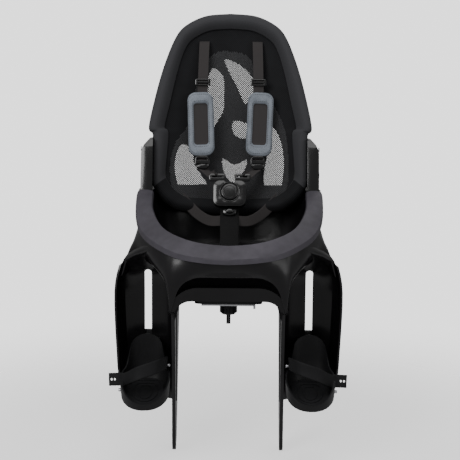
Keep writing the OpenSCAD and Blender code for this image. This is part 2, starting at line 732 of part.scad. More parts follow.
module strap_pegs_left() {
    other_side() strap_pegs_right();
}

// Slider behind the slot, with its neck through the slot, and the sprung lock button in it
slider_y = -15.4;
slider_t = 10;
lock_z = heel_z + 54;
lock_r = 9;
module footrest_slider_right() {
    color(black) difference() {
        union() {
            translate([foot_x - 19, slider_y, lock_z - 24]) cube([38, slider_t, 48]);
            translate([foot_x - slot_w / 2 + 0.6, cup_heel + 30, lock_z - 6])
                cube([slot_w - 1.2, slider_y - cup_heel - 29, 14]);
        }
        translate([foot_x, slider_y + 3.5, lock_z]) rotate([-90, 0, 0]) cylinder(r = lock_r + 0.4, h = 20);
    }
}
module footrest_slider_left() {
    other_side() footrest_slider_right();
}
module footrest_lock_right() {
    color(grey) translate([foot_x, slider_y + 6.5, lock_z]) rotate([-90, 0, 0])
        cylinder(r = lock_r, h = 9);
}
module footrest_lock_left() {
    other_side() footrest_lock_right();
}

seat_shell();
rim_trim();
seat_pad();
back_shell();
back_mesh();
side_bracket_left();
side_bracket_right();
bracket_screws();
back_screws();
shoulder_strap_left();
shoulder_strap_right();
upper_adjuster_left();
upper_adjuster_right();
shoulder_pad_left();
shoulder_pad_right();
lower_adjuster_left();
lower_adjuster_right();
lower_strap_left();
lower_strap_right();
lap_strap_left();
lap_strap_right();
buckle_tongue_left();
buckle_tongue_right();
buckle_body();
buckle_back();
buckle_button();
buckle_spring();
crotch_strap();
harness_anchor();
adapter_body();
adapter_screws();
clamp_plate();
clamp_bolt();
clamp_knob();
footrest_left();
footrest_right();
foot_mat_left();
foot_mat_right();
foot_strap_left();
foot_strap_right();
strap_pegs_left();
strap_pegs_right();
footrest_slider_left();
footrest_slider_right();
footrest_lock_left();
footrest_lock_right();
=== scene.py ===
import json
import math

import bmesh
import bpy
from bpy.props import FloatProperty, FloatVectorProperty, IntProperty, PointerProperty
from mathutils import Euler, Matrix, Vector


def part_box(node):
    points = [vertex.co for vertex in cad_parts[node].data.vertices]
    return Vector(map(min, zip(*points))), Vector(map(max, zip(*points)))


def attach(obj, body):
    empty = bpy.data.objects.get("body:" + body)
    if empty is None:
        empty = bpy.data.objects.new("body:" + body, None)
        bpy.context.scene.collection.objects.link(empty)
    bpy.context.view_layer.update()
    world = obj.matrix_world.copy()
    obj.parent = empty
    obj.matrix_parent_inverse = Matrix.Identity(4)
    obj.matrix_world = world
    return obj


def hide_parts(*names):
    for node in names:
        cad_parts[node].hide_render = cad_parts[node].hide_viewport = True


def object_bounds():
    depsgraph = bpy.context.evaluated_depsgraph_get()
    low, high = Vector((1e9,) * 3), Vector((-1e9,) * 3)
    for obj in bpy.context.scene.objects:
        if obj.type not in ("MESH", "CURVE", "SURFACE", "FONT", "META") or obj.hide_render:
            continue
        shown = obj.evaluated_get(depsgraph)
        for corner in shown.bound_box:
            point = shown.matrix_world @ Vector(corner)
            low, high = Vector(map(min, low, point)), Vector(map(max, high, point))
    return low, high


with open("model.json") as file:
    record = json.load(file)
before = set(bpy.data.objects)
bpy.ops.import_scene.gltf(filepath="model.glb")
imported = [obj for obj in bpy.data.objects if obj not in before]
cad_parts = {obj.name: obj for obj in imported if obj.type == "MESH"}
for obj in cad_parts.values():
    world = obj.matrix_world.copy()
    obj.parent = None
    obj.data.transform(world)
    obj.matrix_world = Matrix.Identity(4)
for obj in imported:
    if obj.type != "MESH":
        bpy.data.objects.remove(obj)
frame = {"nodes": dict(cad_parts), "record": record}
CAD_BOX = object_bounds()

bl_info = {
    "name": "Rear child seat dressing",
    "version": (1, 0, 0),
    "blender": (4, 5, 0),
    "location": "3D View > Sidebar > Child Seat",
    "description": "Dresses the rear carrier child seat with its cover, cushions, webbing and finishes",
    "category": "Object",
}

MM = 0.001
SHARP = math.radians(34)
SKIN_WALL = 1.6 * MM


# Sizes and colours that a user may change
def colour(name, description, default):
    return FloatVectorProperty(name=name, description=description, default=default, subtype="COLOR",
                               size=3, min=0, max=1)


def length(name, description, default, low=0.0, high=1.0):
    return FloatProperty(name=name, description=description, default=default, min=low, max=high,
                         unit="LENGTH", precision=5)


def watts(name, description, default):
    return FloatProperty(name=name, description=description, default=default, min=0, max=500, unit="POWER")


def angle(name, description, degrees):
    return FloatProperty(name=name, description=description, default=math.radians(degrees), subtype="ANGLE")


class SeatFinishes(bpy.types.PropertyGroup):
    """Colours of the seat's materials"""
    shell: colour("Shell", "Glossy black moulding of bucket and leg shields", (0.0055, 0.005, 0.0058))
    trim: colour("Lip band", "Soft-touch band on the bucket's lip", (0.064, 0.059, 0.071))
    frame: colour("Frame", "Grained black plastic of back frame, cups and adapter", (0.0078, 0.0078, 0.0086))
    gloss: colour("Gloss parts", "Brackets, buckle and adjusters", (0.003, 0.003, 0.0034))
    cover: colour("Air mesh", "Cloth of the back cover's padded border", (0.0125, 0.013, 0.0148))
    dish: colour("Dish mesh", "Cloth of the back cover inside its border, and its open net",
                 (0.0042, 0.0043, 0.005))
    # Painted sheen: the open net is the dish's own cloth, coloured about five times lighter to stand in for
    # the highlight on its threads
    net: colour("Open net", "Threads of the open net in the back cover", (0.021, 0.0215, 0.024))
    cushion: colour("Cushion cloth", "Seat cushion and crotch pad", (0.0036, 0.0035, 0.0038))
    pad: colour("Shoulder pads", "Cloth of the shoulder pads", (0.205, 0.228, 0.262))
    webbing: colour("Webbing", "Ribbed harness webbing", (0.0125, 0.0115, 0.0112))
    rubber: colour("Rubber", "Foot straps and tread mats", (0.0085, 0.0085, 0.0095))
    button: colour("Lock button", "Grey plastic of the foot cups' lock buttons", (0.2, 0.2, 0.21))
    zinc: colour("Zinc plating", "Screws, pegs and clamp parts", (0.58, 0.58, 0.6))
    thread: colour("Thread", "Stitching on the pads", (0.05, 0.05, 0.055))


class SeatSizes(bpy.types.PropertyGroup):
    """Sizes of the soft pieces and their details"""
    net_pitch: length("Net pitch", "Half the diagonal of one cell of the air mesh", 1.96 * MM,
                      0.8 * MM, 5 * MM)
    net_thread: length("Net thread", "Radius of the air mesh's threads", 0.9 * MM, 0.1 * MM, 2 * MM)
    cover_depth: length("Cover thickness", "Thickness of the cloth of the back cover", 2 * MM,
                        0.5 * MM, 6 * MM)
    cushion_rise: length("Cushion rise", "How far the seat cushion may swell", 8 * MM, 0, 20 * MM)
    stitch_pitch: length("Stitch pitch", "Distance from one stitch to the next", 4.2 * MM, 1 * MM, 10 * MM)
    stitch_radius: length("Stitch thickness", "Radius of one stitch", 0.45 * MM, 0.1 * MM, 1 * MM)
    edge_round: length("Edge rounding", "Rounding of moulded edges", 0.7 * MM, 0.1 * MM, 2 * MM)
    rib_pitch: length("Webbing rib", "Distance between the ribs of the webbing", 2.4 * MM, 1 * MM, 6 * MM)
    grain: IntProperty(name="Grain", description="Cells of moulded grain to the metre", default=900, min=100,
                       max=4000)


class SeatStage(bpy.types.PropertyGroup):
    """Floor, light and camera"""
    floor: colour("Floor", "Pale floor and backdrop", (0.86, 0.86, 0.87))
    key_power: watts("Key light", "Power of the key light", 38)
    fill_power: watts("Fill light", "Power of the fill light and of the rim light behind", 9)
    top_power: watts("Top light", "Power of the light overhead", 22)
    distance: length("Camera distance", "From the camera to the middle of the seat", 3.0, 1, 10)
    elevation: angle("Camera elevation", "Angle above the horizon", 10)
    turn: angle("Camera turn", "Angle round the seat", 0.3)
    roll: angle("Camera roll", "Tilt of the picture", 0.42)
    lens: FloatProperty(name="Lens", description="Focal length", default=125, min=20, max=300,
                        subtype="DISTANCE_CAMERA")


def looks():
    return bpy.context.scene.seat_finishes


def sizes():
    return bpy.context.scene.seat_sizes


# Shapes
def mix(a, b, t):
    return a + (b - a) * t


def bend(a, b, c, d, t):
    return 0.5 * (2 * b + (c - a) * t + (2 * a - 5 * b + 4 * c - d) * t * t
                  + (3 * b - a - 3 * c + d) * t * t * t)


def curve(points, n):
    """Smooth curve through points, n steps between two of them"""
    p = [Vector(q) for q in points]
    made = []
    for i in range(len(p) - 1):
        a, b, c, d = p[max(i - 1, 0)], p[i], p[i + 1], p[min(i + 2, len(p) - 1)]
        made += [bend(a, b, c, d, k / n) for k in range(n)]
    return made + [p[-1]]


def in_metres(points):
    return [Vector(p) * MM for p in points]


def ring_curve(points, n):
    """The same through a closed ring"""
    p = [Vector(q) for q in points]
    m = len(p)
    return [bend(p[i - 1], p[i], p[(i + 1) % m], p[(i + 2) % m], k / n) for i in range(m) for k in range(n)]


def value_at(table, x):
    """Straight-line reading of a table of (x, value) rows"""
    for (a, b), (c, d) in zip(table, table[1:]):
        if x <= c:
            return mix(b, d, min(max((x - a) / (c - a), 0), 1))
    return table[-1][1]


BACK_FOOT = Vector((0, 95, 60))
RECLINE = math.radians(13.5)
BACK_R = 420


def on_back(x, y, z):
    """A point given upright on the back, in mm, as a place in the frame, in metres"""
    c, s = math.cos(RECLINE), math.sin(RECLINE)
    return Vector((x, BACK_FOOT.y + y * c + z * s, BACK_FOOT.z + z * c - y * s)) * MM


def on_bowed_back(x, y, z):
    return on_back(x, y - x * x / (2 * BACK_R), z)


def inside(point, outline):
    """True where a flat point is inside an outline"""
    x, z = point
    hit = False
    for (a, b), (c, d) in zip(outline, outline[1:] + outline[:1]):
        if (b > z) != (d > z) and x < (c - a) * (z - b) / (d - b) + a:
            hit = not hit
    return hit


def piece(name, points, faces, finishes, uvs=None, marks=None):
    """A mesh object at the origin, with its place in its mesh"""
    mesh = bpy.data.meshes.new(name)
    mesh.from_pydata([tuple(p) for p in points], [], faces)
    for f in finishes:
        mesh.materials.append(bpy.data.materials[f])
    mesh.polygons.foreach_set("use_smooth", [True] * len(mesh.polygons))
    if marks:
        mesh.polygons.foreach_set("material_index", marks)
    if uvs:
        layer = mesh.uv_layers.new(name="UVMap")
        layer.data.foreach_set("uv", [t for loop in mesh.loops for t in uvs[loop.vertex_index]])
    obj = bpy.data.objects.new(name, mesh)
    bpy.context.scene.collection.objects.link(obj)
    return obj


def settled(obj):
    """Applies what modifiers an object has"""
    bpy.context.view_layer.update()
    done = bpy.data.meshes.new_from_object(obj.evaluated_get(bpy.context.evaluated_depsgraph_get()))
    obj.modifiers.clear()
    old = obj.data
    obj.data = done
    bpy.data.meshes.remove(old)
    return obj


def outward(obj):
    """Turns a closed mesh's faces outwards"""
    bm = bmesh.new()
    bm.from_mesh(obj.data)
    bmesh.ops.recalc_face_normals(bm, faces=bm.faces)
    bm.to_mesh(obj.data)
    bm.free()
    return obj


def belongs(obj, body, slot, *nodes):
    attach(obj, body)
    if nodes:
        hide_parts(*nodes)
    return obj


def grid_faces(rows, cols, first=0, closed=False):
    return [(first + r * cols + c, first + r * cols + (c + 1) % cols,
             first + (r + 1) * cols + (c + 1) % cols, first + (r + 1) * cols + c)
            for r in range(rows - 1) for c in range(cols if closed else cols - 1)]


def tube(path, across, section):
    """Closed skin of a flat section laid along a path: points, faces and texture places"""
    points, uvs = [], []
    n = len(section)
    run = 0.0
    for i, p in enumerate(path):
        ahead = (path[min(i + 1, len(path) - 1)] - path[max(i - 1, 0)]).normalized()
        wide = (across - ahead * across.dot(ahead)).normalized()
        up = ahead.cross(wide).normalized()
        if i:
            run += (p - path[i - 1]).length
        for a, b in section:
            points.append(p + wide * a + up * b)
            uvs.append((a, run))
    faces = grid_faces(len(path), n, closed=True)
    faces.append(tuple(range(n))[::-1])
    faces.append(tuple((len(path) - 1) * n + k for k in range(n)))
    return points, faces, uvs


def flat_section(width, thick, crown=0.0):
    """Section of a band with round edges and a slight crown, in metres"""
    w, t = width / 2, thick / 2
    top = [(k / 6 * (w - t), t + crown * (1 - (k / 6) ** 2)) for k in range(-6, 7)]
    right = [(w - t + t * math.sin(a), t * math.cos(a)) for a in [math.pi * k / 5 for k in range(1, 5)]]
    low = [(-x, -t) for x, y in top]
    left = [(-x, -y) for x, y in right]
    return top + right + low + left


# Geometry node trees for what repeats
def new_tree(name, inputs):
    tree = bpy.data.node_groups.new(name, "GeometryNodeTree")
    tree.interface.new_socket("Geometry", in_out="INPUT", socket_type="NodeSocketGeometry")
    for label, kind, default in inputs:
        tree.interface.new_socket(label, in_out="INPUT", socket_type=kind).default_value = default
    tree.interface.new_socket("Geometry", in_out="OUTPUT", socket_type="NodeSocketGeometry")
    return tree, tree.nodes.new("NodeGroupInput"), tree.nodes.new("NodeGroupOutput")


def ends_in(tree, socket, out, finish):
    real = tree.nodes.new("GeometryNodeRealizeInstances")
    paint = tree.nodes.new("GeometryNodeSetMaterial")
    paint.inputs["Material"].default_value = bpy.data.materials[finish]
    tree.links.new(socket, real.inputs[0])
    tree.links.new(real.outputs[0], paint.inputs[0])
    tree.links.new(paint.outputs[0], out.inputs[0])


def net_tree(finish):
    """Threads along the edges of a net"""
    tree, start, out = new_tree("Net threads", [("Thread radius", "NodeSocketFloat", 0.0005)])
    new, link = tree.nodes.new, tree.links.new
    lines, ring = new("GeometryNodeMeshToCurve"), new("GeometryNodeCurvePrimitiveCircle")
    ring.inputs["Resolution"].default_value = 4
    skin = new("GeometryNodeCurveToMesh")
    link(start.outputs["Geometry"], lines.inputs[0])
    link(start.outputs["Thread radius"], ring.inputs["Radius"])
    link(lines.outputs[0], skin.inputs["Curve"])
    link(ring.outputs[0], skin.inputs["Profile Curve"])
    ends_in(tree, skin.outputs[0], out, finish)
    return tree


def stitch_tree(finish):
    """Stitches at even steps along a line"""
    tree, start, out = new_tree("Stitches", [("Pitch", "NodeSocketFloat", 0.004),
                                             ("Thickness", "NodeSocketFloat", 0.0004)])
    new, link = tree.nodes.new, tree.links.new
    lines, steps = new("GeometryNodeMeshToCurve"), new("GeometryNodeCurveToPoints")
    steps.mode = "LENGTH"
    bead = new("GeometryNodeMeshIcoSphere")
    bead.inputs["Subdivisions"].default_value = 2
    size, long = new("ShaderNodeCombineXYZ"), new("ShaderNodeMath")
    long.operation = "MULTIPLY"
    long.inputs[1].default_value = 0.36
    put = new("GeometryNodeInstanceOnPoints")
    link(start.outputs["Geometry"], lines.inputs[0])
    link(lines.outputs[0], steps.inputs["Curve"])
    link(start.outputs["Pitch"], steps.inputs["Length"])
    link(start.outputs["Pitch"], long.inputs[0])
    link(start.outputs["Thickness"], size.inputs[0])
    link(start.outputs["Thickness"], size.inputs[1])
    link(long.outputs[0], size.inputs[2])
    link(steps.outputs["Points"], put.inputs["Points"])
    link(steps.outputs["Rotation"], put.inputs["Rotation"])
    link(bead.outputs["Mesh"], put.inputs["Instance"])
    link(size.outputs[0], put.inputs["Scale"])
    ends_in(tree, put.outputs[0], out, finish)
    return tree


def grown(name, points, edges, tree, values):
    """What a node tree grows on lines, as a plain mesh"""
    mesh = bpy.data.meshes.new(name)
    mesh.from_pydata([tuple(p) for p in points], edges, [])
    obj = bpy.data.objects.new(name, mesh)
    bpy.context.scene.collection.objects.link(obj)
    grow = obj.modifiers.new("Grow", "NODES")
    grow.node_group = tree
    for item in tree.interface.items_tree:
        if item.in_out == "INPUT" and item.name in values:
            grow[item.identifier] = values[item.name]
    return settled(obj)


def joined(name, *objs):
    """Several meshes as one piece, each with its own materials"""
    with bpy.context.temp_override(active_object=objs[0], selected_editable_objects=list(objs)):
        bpy.ops.object.join()
    objs[0].name = name
    objs[0].data.name = name
    return objs[0]


# Materials
class Finish:
    """A node material with helpers for its patterns"""

    def __init__(self, name, base, rough, metallic=0.0, coat=0.0, specular=0.5, sheen=0.0):
        self.mat = bpy.data.materials.new(name)
        self.mat.use_nodes = True
        self.tree = self.mat.node_tree
        self.shader = self.tree.nodes["Principled BSDF"]
        for label, value in (("Metallic", metallic), ("Roughness", rough), ("Coat Weight", coat),
                             ("Coat Roughness", 0.12), ("Specular IOR Level", specular),
                             ("Sheen Weight", sheen), ("Sheen Roughness", 0.5)):
            self.shader.inputs[label].default_value = value
        self.base, self.rough = base, rough
        self.place = self.node("ShaderNodeTexCoord")
        self.height = self.tone = None

    def node(self, kind, **values):
        made = self.tree.nodes.new(kind)
        for k, v in values.items():
            setattr(made, k, v)
        return made

    def link(self, a, b):
        self.tree.links.new(a, b)

    def maths(self, operation, a, b=None):
        made = self.node("ShaderNodeMath", operation=operation)
        for socket, v in zip(made.inputs, (a, b)):
            if v is None:
                continue
            if isinstance(v, (int, float)):
                socket.default_value = v
            else:
                self.link(v, socket)
        return made.outputs[0]

    def turned(self, source, angle):
        made = self.node("ShaderNodeMapping")
        made.inputs["Rotation"].default_value = (0, 0, angle)
        self.link(self.place.outputs[source], made.inputs["Vector"])
        return made.outputs[0]

    def noise(self, scale, detail):
        made = self.node("ShaderNodeTexNoise")
        made.inputs["Scale"].default_value = scale
        made.inputs["Detail"].default_value = detail
        self.link(self.place.outputs["Object"], made.inputs["Vector"])
        return made.outputs["Fac"]

    def waves(self, source, angle, pitch):
        """Even ribs, 0 to 1, at a pitch in metres across a direction"""
        flat = self.node("ShaderNodeSeparateXYZ")
        self.link(self.turned(source, angle), flat.inputs[0])
        return self.maths("MULTIPLY_ADD", self.maths("SINE", self.maths(
            "MULTIPLY", flat.outputs[0], 2 * math.pi / pitch)), 0.5)

    def raise_by(self, pattern, strength, distance):
        bump = self.node("ShaderNodeBump")
        bump.inputs["Strength"].default_value = strength
        bump.inputs["Distance"].default_value = distance
        self.link(pattern, bump.inputs["Height"])
        if self.height:
            self.link(self.height, bump.inputs["Normal"])
        self.height = bump.outputs[0]

    def vary(self, pattern, low, high, start=0.35, end=0.65):
        """Colour from low times the base to high times it, as the pattern goes"""
        ramp = self.node("ShaderNodeValToRGB")
        for element, share, place in zip(ramp.color_ramp.elements, (low, high), (start, end)):
            element.position = place
            element.color = (share, share, share, 1)
        self.link(pattern, ramp.inputs[0])
        blend = self.node("ShaderNodeMix", data_type="RGBA", blend_type="MULTIPLY")
        blend.inputs["Factor"].default_value = 1
        if self.tone:
            self.link(self.tone, blend.inputs["A"])
        else:
            blend.inputs["A"].default_value = (*self.base, 1)
        self.link(ramp.outputs[0], blend.inputs["B"])
        self.tone = blend.outputs["Result"]

    def roughen(self, pattern, spread):
        rng = self.node("ShaderNodeMapRange")
        rng.inputs["To Min"].default_value = max(self.rough - spread, 0.02)
        rng.inputs["To Max"].default_value = min(self.rough + spread, 1)
        self.link(pattern, rng.inputs["Value"])
        self.link(rng.outputs[0], self.shader.inputs["Roughness"])

    def fade_out(self, near, far, most):
        """Lets the surface thin out to nothing between two distances from the middle"""
        flat = self.node("ShaderNodeVectorMath", operation="MULTIPLY")
        flat.inputs[1].default_value = (1, 1, 0)
        self.link(self.place.outputs["Object"], flat.inputs[0])
        run = self.node("ShaderNodeVectorMath", operation="LENGTH")
        self.link(flat.outputs[0], run.inputs[0])
        rng = self.node("ShaderNodeMapRange", interpolation_type="SMOOTHSTEP")
        for label, value in (("From Min", near), ("From Max", far), ("To Min", most), ("To Max", 0)):
            rng.inputs[label].default_value = value
        self.link(run.outputs["Value"], rng.inputs["Value"])
        self.link(rng.outputs[0], self.shader.inputs["Alpha"])

    def done(self):
        if self.tone:
            self.link(self.tone, self.shader.inputs["Base Color"])
        else:
            self.shader.inputs["Base Color"].default_value = (*self.base, 1)
        if self.height:
            self.link(self.height, self.shader.inputs["Normal"])
        self.mat.diffuse_color = (*self.base, 1)
        return self.mat


def moulded(name, base, rough, grain, bump, coat=0.0, spread=0.05, specular=0.5):
    """Moulded plastic with a fine grain, faint flow marks and handling marks"""
    f = Finish(name, base, rough, coat=coat, specular=specular)
    f.vary(f.noise(9, 4), 0.82, 1.16)
    f.vary(f.noise(70, 3), 0.93, 1.07)
    f.roughen(f.noise(26, 5), spread)
    f.raise_by(f.noise(grain, 2), bump, 0.0002)
    f.raise_by(f.noise(5, 1), 0.05, 0.002)
    return f.done()


class SEAT_OT_finishes(bpy.types.Operator):
    """Makes the materials of plastic, rubber, steel, cloth and webbing"""
    bl_idname = "child_seat.finishes"
    bl_label = "Finishes"

    def execute(self, context):
        c, s = looks(), sizes()
        moulded("shell_gloss", c.shell, 0.3, s.grain * 1.4, 0.05, coat=0.1, specular=0.4)
        moulded("lip_band", c.trim, 0.62, s.grain * 1.2, 0.28, spread=0.06, specular=0.3)
        moulded("frame_grained", c.frame, 0.48, s.grain, 0.3, spread=0.08, specular=0.3)
        moulded("gloss_black", c.gloss, 0.2, s.grain * 1.4, 0.03, coat=0.3, spread=0.05)
        moulded("rubber", c.rubber, 0.68, s.grain * 1.8, 0.22, spread=0.06, specular=0.25)
        moulded("button_grey", c.button, 0.45, s.grain, 0.2)
        self.zinc(c)
        self.webbing(c, s)
        self.air_mesh("air_mesh", c.cover, s)
        self.air_mesh("dish_mesh", c.dish, s)
        self.cloth("cushion_cloth", c.cushion, 1.1 * MM, 0.75)
        self.cloth("pad_cloth", c.pad, 1.3 * MM, 0.72)
        # The net cord is the dish's cloth with a painted sheen: its colour is made lighter for the highlight
        # on its threads
        for name, base in (("thread", c.thread), ("net_cord", c.net)):
            thread = Finish(name, base, 0.7, sheen=0.2)
            thread.vary(thread.noise(900, 2), 0.8, 1.25)
            thread.done()
        return {"FINISHED"}

    def zinc(self, c):
        f = Finish("zinc", c.zinc, 0.32, metallic=1.0)
        f.vary(f.noise(60, 4), 0.85, 1.08)
        f.roughen(f.noise(160, 4), 0.1)
        f.raise_by(f.noise(1400, 2), 0.08, 0.0001)
        f.done()

    def webbing(self, c, s):
        f = Finish("webbing", c.webbing, 0.7, sheen=0.08, specular=0.25)
        ribs = f.waves("UV", math.pi / 2, s.rib_pitch)
        picks = f.waves("UV", 0, 1.6 * MM)
        weave = f.maths("MULTIPLY", ribs, picks)
        f.vary(weave, 0.6, 1.35, 0.1, 0.9)
        f.vary(f.noise(40, 3), 0.85, 1.15)
        f.raise_by(ribs, 0.5, 0.0004)
        f.raise_by(picks, 0.3, 0.0002)
        f.done()

    def air_mesh(self, name, base, s):
        f = Finish(name, base, 0.78, sheen=0.06, specular=0.2)
        side = s.net_pitch * math.sqrt(2)
        a = f.waves("UV", math.pi / 4, side)
        b = f.waves("UV", -math.pi / 4, side)
        holes = f.maths("MULTIPLY", a, b)
        # Painted light and shade: the threads are coloured lighter than the base, as the light on them, and
        # the holes near black, as the shade inside them
        f.vary(holes, 2.2, 0.1, 0.25, 0.8)
        f.vary(f.noise(30, 3), 0.85, 1.15)
        f.raise_by(holes, -0.6, 0.0006)
        f.done()

    def cloth(self, name, base, pitch, rough):
        f = Finish(name, base, rough, sheen=0.06, specular=0.2)
        flat = f.node("ShaderNodeSeparateXYZ")
        f.link(f.place.outputs["Object"], flat.inputs[0])
        rise = f.maths("ADD", flat.outputs[1], flat.outputs[2])
        warp = f.maths("SINE", f.maths("MULTIPLY", flat.outputs[0], 2 * math.pi / pitch))
        weft = f.maths("SINE", f.maths("MULTIPLY", rise, 2 * math.pi / pitch))
        weave = f.maths("MULTIPLY_ADD", f.maths("MULTIPLY", warp, weft), 0.5)
        f.vary(weave, 0.78, 1.2, 0.1, 0.9)
        f.vary(f.noise(34, 4), 0.85, 1.15)
        f.vary(f.noise(700, 2), 0.85, 1.15)
        f.raise_by(weave, 0.35, 0.0003)
        f.raise_by(f.noise(60, 3), 0.1, 0.001)
        f.done()


# Rigid pieces: material, record slot, edge rounding, and the CAD node
MOULDINGS = [
    ("shell_gloss", "shell_plastic", 0, "seat_shell"),
    ("lip_band", "rim_rubber", 0, "rim_trim"),
    ("frame_grained", "frame_plastic", 0, "back_shell"),
    ("gloss_black", "bracket_plastic", 1.6, "side_bracket_left side_bracket_right"),
    ("zinc", "zinc_steel", 0.3, "bracket_screws back_screws adapter_screws harness_anchor buckle_spring "
                                "strap_pegs_left strap_pegs_right"),
    ("gloss_black", "zinc_steel", 0.3, "clamp_bolt"),
    ("zinc", "clamp_steel", 0.8, "clamp_plate"),
    ("frame_grained", "frame_plastic", 0.8, "adapter_body clamp_knob footrest_slider_left "
                                            "footrest_slider_right"),
    ("frame_grained", "frame_plastic", 0, "footrest_left footrest_right"),
    ("rubber", "strap_rubber", 0, "foot_mat_left foot_mat_right"),
    ("button_grey", "button_plastic", 0.8, "footrest_lock_left footrest_lock_right"),
    ("gloss_black", "buckle_plastic", 0.7, "buckle_body buckle_back buckle_button buckle_tongue_left "
                                           "buckle_tongue_right upper_adjuster_left upper_adjuster_right "
                                           "lower_adjuster_left lower_adjuster_right"),
]


def body_of(node):
    groups = frame["record"]["behaviour"]["bodies"]
    return next(b for b, members in groups.items() if node in members)


def smooth_copy(node, finish, slot, rounding):
    """A copy of a CAD node with its points merged, round edges and smooth faces"""
    source = frame["nodes"][node]
    mesh = source.data.copy()
    mesh.materials.clear()
    mesh.materials.append(bpy.data.materials[finish])
    bm = bmesh.new()
    bm.from_mesh(mesh)
    bmesh.ops.remove_doubles(bm, verts=bm.verts, dist=1e-5)
    bmesh.ops.dissolve_degenerate(bm, edges=bm.edges, dist=1e-6)
    if rounding:
        bmesh.ops.dissolve_limit(bm, angle_limit=math.radians(0.7), verts=bm.verts, edges=bm.edges)
        bm.edges.ensure_lookup_table()
        sharp = [e for e in bm.edges if len(e.link_faces) == 2 and e.calc_face_angle(0) > math.radians(32)]
        bmesh.ops.bevel(bm, geom=sharp, offset=rounding * MM, segments=2, affect="EDGES", profile=0.5,
                        clamp_overlap=True, offset_type="OFFSET")
        bmesh.ops.triangulate(bm, faces=bm.faces)
    for f in bm.faces:
        f.smooth = True
        f.material_index = 0
    for e in bm.edges:
        e.smooth = len(e.link_faces) == 2 and e.calc_face_angle(0) < SHARP
    bm.to_mesh(mesh)
    bm.free()
    obj = bpy.data.objects.new(node + "_finished", mesh)
    bpy.context.scene.collection.objects.link(obj)
    return belongs(obj, body_of(node), slot, node)


class SEAT_OT_mouldings(bpy.types.Operator):
    """Gives the rigid CAD pieces smooth faces, rounded edges and their finish"""
    bl_idname = "child_seat.mouldings"
    bl_label = "Mouldings and fittings"

    def execute(self, context):
        for finish, slot, rounding, nodes in MOULDINGS:
            for node in nodes.split():
                smooth_copy(node, finish, slot, rounding * sizes().edge_round / (0.7 * MM))
        return {"FINISHED"}


# Front skin, right half, in mm: from under the lip band down to the skin's lower edge over the wheel, and
# further out down into the channel of the leg shield
FRONT_SKIN = [
    [(0, -164.5, 91.5), (0, -163.5, 84), (0, -162, 77), (0, -160, 71), (0, -157, 66)],
    [(51, -159.5, 93.5), (51, -159, 86), (51, -158.2, 78), (51, -157, 71.5), (51, -154.5, 65.8)],
    [(72, -153.5, 96), (72, -154.5, 87), (71.5, -155, 78), (70.5, -154.8, 69), (69, -153.5, 61.4)],
    [(84, -148.5, 98), (85, -151, 88), (84.5, -153, 77), (83, -153.5, 66), (80, -153, 55)],
    [(92, -144.5, 99.5), (93.5, -148.5, 88), (93, -151.5, 75), (91, -152.8, 60), (88, -152.5, 46)],
    [(99, -140.5, 101), (101, -145.5, 88), (100, -150, 72), (97, -152, 54), (93, -152, 36)],
    [(105, -136.5, 102.5), (107, -142, 88), (106, -147.5, 70), (102.5, -150.8, 46), (98, -151.5, 20)],
    [(111, -132, 105), (113, -137.5, 89), (112, -143.5, 69), (108, -148, 40), (104, -150, 2)],
    [(118, -126.5, 107.5), (120, -131, 90), (118, -136, 70), (110.5, -141, 40), (106.5, -144, 2)],
    [(127, -119, 111), (129, -122, 93), (126, -123, 72), (111.5, -121, 42), (106.5, -118, 4)],
    [(138, -108.5, 115.5), (140, -109, 97), (137, -104, 78), (124, -92, 60), (109, -74, 44)],
    [(148, -93, 120.5), (152, -92, 104), (150, -82, 87), (146, -60, 72), (141, -22, 61)],
    [(157, -76, 126.5), (163, -76, 109), (163, -65, 92), (161, -46, 77), (158, -18, 65)],
    [(163, -61, 132), (171, -63, 113), (177, -58, 94), (179, -44, 74), (178, -20, 56)],
    [(166, -50, 136), (175, -55, 114), (184, -54, 95), (192, -52, 73), (198.5, -48, 46)],
    [(168, -38, 141), (176, -41, 115), (185, -40, 95.5), (193, -40, 73), (200, -38, 46)]]


class SEAT_OT_front_skin(bpy.types.Operator):
    """Makes the glossy skin that runs from the lip band over the wheel and out into the leg shields"""
    bl_idname = "child_seat.front_skin"
    bl_label = "Front skin"

    def execute(self, context):
        left = [[(-x, y, z) for x, y, z in col] for col in FRONT_SKIN[:0:-1]]
        columns = [curve(in_metres(col), 6) for col in left + FRONT_SKIN]
        rows = [curve([col[k] for col in columns], 4) for k in range(len(columns[0]))]
        skin = piece("front_skin", [p for row in rows for p in row], grid_faces(len(rows), len(rows[0])),
                     ["shell_gloss"])
        # Recess between the skin's lower edge and the flange over the wheel
        ends = [Vector(col[-1]) for col in FRONT_SKIN[:8]]
        edge = curve([Vector((-p.x, p.y, p.z)) for p in ends[:0:-1]] + ends, 4)
        steps = [(1, 0.2, 0), (1, 4, 0.3), (0.99, None, 1), (0.93, None, -19)]
        lips = [[Vector((p.x * f, -141 if back is None else p.y + back, p.z + up)) * MM for p in edge]
                for f, back, up in steps]
        recess = piece("recess", [p for row in lips for p in row], grid_faces(len(lips), len(edge)),
                       ["shell_gloss"])
        for part in (skin, recess):
            wall = part.modifiers.new("Wall", "SOLIDIFY")
            wall.thickness = SKIN_WALL
            wall.offset = 1
            settled(part)
        belongs(outward(joined("front_skin", skin, recess)), "seat", "shell_plastic")
        return {"FINISHED"}


